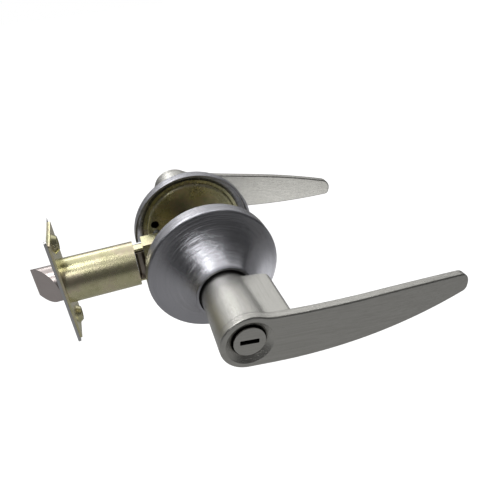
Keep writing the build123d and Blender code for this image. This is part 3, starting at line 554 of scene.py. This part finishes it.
def make_guide_block():
    tube_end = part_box("latch_tube")[1].x
    middle = (tube_end + GUIDE_GAP + GUIDE_SIZE.x / 2, GUIDE_SIDE, 0)
    block = bmesh.new()
    bmesh.ops.create_cube(block, size=1.0)
    bmesh.ops.scale(block, verts=block.verts, vec=GUIDE_SIZE)
    bmesh.ops.translate(block, verts=block.verts, vec=middle)
    front = min(block.faces, key=lambda face: face.calc_center_median().y)
    bmesh.ops.inset_region(block, faces=[front], thickness=GUIDE_SLOT_RIM)
    bmesh.ops.translate(block, verts=front.verts, vec=(0, GUIDE_SLOT_DEPTH, 0))
    rims = [edge for edge in block.edges if edge.calc_face_angle(0) > SHARP]
    bmesh.ops.bevel(block, geom=rims, offset=GUIDE_BEVEL, offset_type="OFFSET", segments=2,
                    profile=0.5, affect="EDGES", material=-1)
    bmesh.ops.recalc_face_normals(block, faces=block.faces)
    steel = plain_metal("tail_steel", TAIL_DARK, TAIL_LIGHT, 0.28)
    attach(finished_piece("tail_guide_block", block, steel), "root")


make_guide_block()

# %% [markdown]
# ## The floor
#
# Brushed metal is mostly a picture of the room, so the room is what gives it form. The floor is
# a pale grey sheet well below the set. A white floor would throw more light on the metal from
# below, so its colour stays grey and it glows white only where it is seen directly. The set
# still leaves a faint shadow on it.

# %% The floor
FLOOR_DROP = 0.16
FLOOR_HALF_WIDTH = 3.0
FLOOR_GREY = (0.46, 0.46, 0.46)
FLOOR_GLOW = 0.84
BLACK = (0.0, 0.0, 0.0)
WHITE = (1.0, 1.0, 1.0)


def make_floor():
    sheet = bmesh.new()
    bmesh.ops.create_grid(sheet, x_segments=1, y_segments=1, size=FLOOR_HALF_WIDTH)
    bmesh.ops.translate(sheet, verts=sheet.verts, vec=(0, 0, cad_box[0].z - FLOOR_DROP))
    finish = Finish("floor_white")
    glow = finish.blend(finish.seen_directly(), BLACK, WHITE)
    white = finish.use(Base_Color=FLOOR_GREY, Roughness=0.9, Emission_Strength=FLOOR_GLOW,
                       Emission_Color=glow)
    finished_piece("floor", sheet, white)


make_floor()

# %% [markdown]
# ## The room
#
# The world is an overcast: bright behind the set and overhead, and dim on the camera's side,
# which leaves the fronts darker than the tops. The direction of a ray decides its strength. The
# metal reflects this room and not the white background, which only direct rays see: with white
# on every side the brushed fronts would turn as pale as the tops.

# %% The overcast
BEHIND_FROM, BEHIND_TO, BEHIND_LEVEL = 0.10, 0.65, 0.82
HORIZON_FROM, HORIZON_TO = -0.02, 0.40
ABOVE_FROM, ABOVE_TO, ABOVE_LEVEL = 0.60, 0.95, 0.27
DIM_LEVEL = 0.08


def make_world():
    world = bpy.data.worlds.new("studio")
    bpy.context.scene.world = world
    world.use_nodes = True
    world.node_tree.nodes.clear()
    sky = Nodes(world.node_tree)
    _, y, z = sky.parts(sky.node("TexCoord", output="Generated"))
    behind = sky.smooth(y, BEHIND_FROM, BEHIND_TO) * sky.smooth(z, HORIZON_FROM, HORIZON_TO)
    above = sky.smooth(z, ABOVE_FROM, ABOVE_TO)
    strength = DIM_LEVEL + behind * BEHIND_LEVEL + above * ABOVE_LEVEL
    room = sky.node("Background", {}, {"Color": WHITE, "Strength": strength})
    white = sky.node("Background", {}, {"Color": WHITE, "Strength": 1.0})
    surface = sky.node("MixShader", {}, [sky.seen_directly(), room, white])
    sky.node("OutputWorld", {}, {"Surface": surface})
    print("world:", len(world.node_tree.nodes), "nodes, strength", DIM_LEVEL, "in front,",
          BEHIND_LEVEL, "more behind,", ABOVE_LEVEL, "more above")


make_world()

# %% [markdown]
# ## The lamps
#
# The overcast alone leaves the metal flat, so four soft square lamps draw the bright lines: one
# above, one in front, a small one overhead and one behind. Each is aimed at the middle of the
# spindle. The fifth is a small dim card below the levers. It faces the interior lever, which
# then has something pale to reflect. It stands inside the view, so it is hidden from the camera.

# %% Five soft lamps
SOFTBOXES = {
    "softbox_above": ((-0.30, 0.02, 0.78), 0.28, 1.6),
    "softbox_front": ((-0.30, -0.40, 0.62), 0.26, 0.9),
    "softbox_zenith": ((0.17, -0.02, 0.78), 0.18, 0.5),
    "softbox_behind": ((-0.13, 0.82, 0.48), 0.24, 0.40),
}
CARD_PLACE, CARD_AIM = (0.090, -0.025, -0.085), (0.08, 0.075, -0.01)
CARD_SIZE, CARD_POWER = 0.09, 0.022


def make_lamp(name, place, size, power, aim=(0, 0, 0)):
    """A square lamp at a place, turned to face a point; size in metres, power in watts."""
    data = bpy.data.lights.new(name, "AREA")
    data.shape = "SQUARE"
    data.size = size
    data.energy = power
    lamp = bpy.data.objects.new(name, data)
    way = Vector(aim) - Vector(place)
    facing = way.to_track_quat("-Z", "Y").to_matrix().to_4x4()
    lamp.matrix_world = Matrix.Translation(place) @ facing
    bpy.context.scene.collection.objects.link(lamp)
    print("lamp:", name, power, "W")
    return lamp


for name, (place, size, power) in SOFTBOXES.items():
    make_lamp(name, place, size, power)
card = make_lamp("card_low", CARD_PLACE, CARD_SIZE, CARD_POWER, aim=CARD_AIM)
card.visible_camera = False

# %% [markdown]
# ## Plain colours
#
# The Standard view shows a colour as it is written, without a film look.

# %% Plain colours
bpy.context.scene.view_settings.view_transform = "Standard"
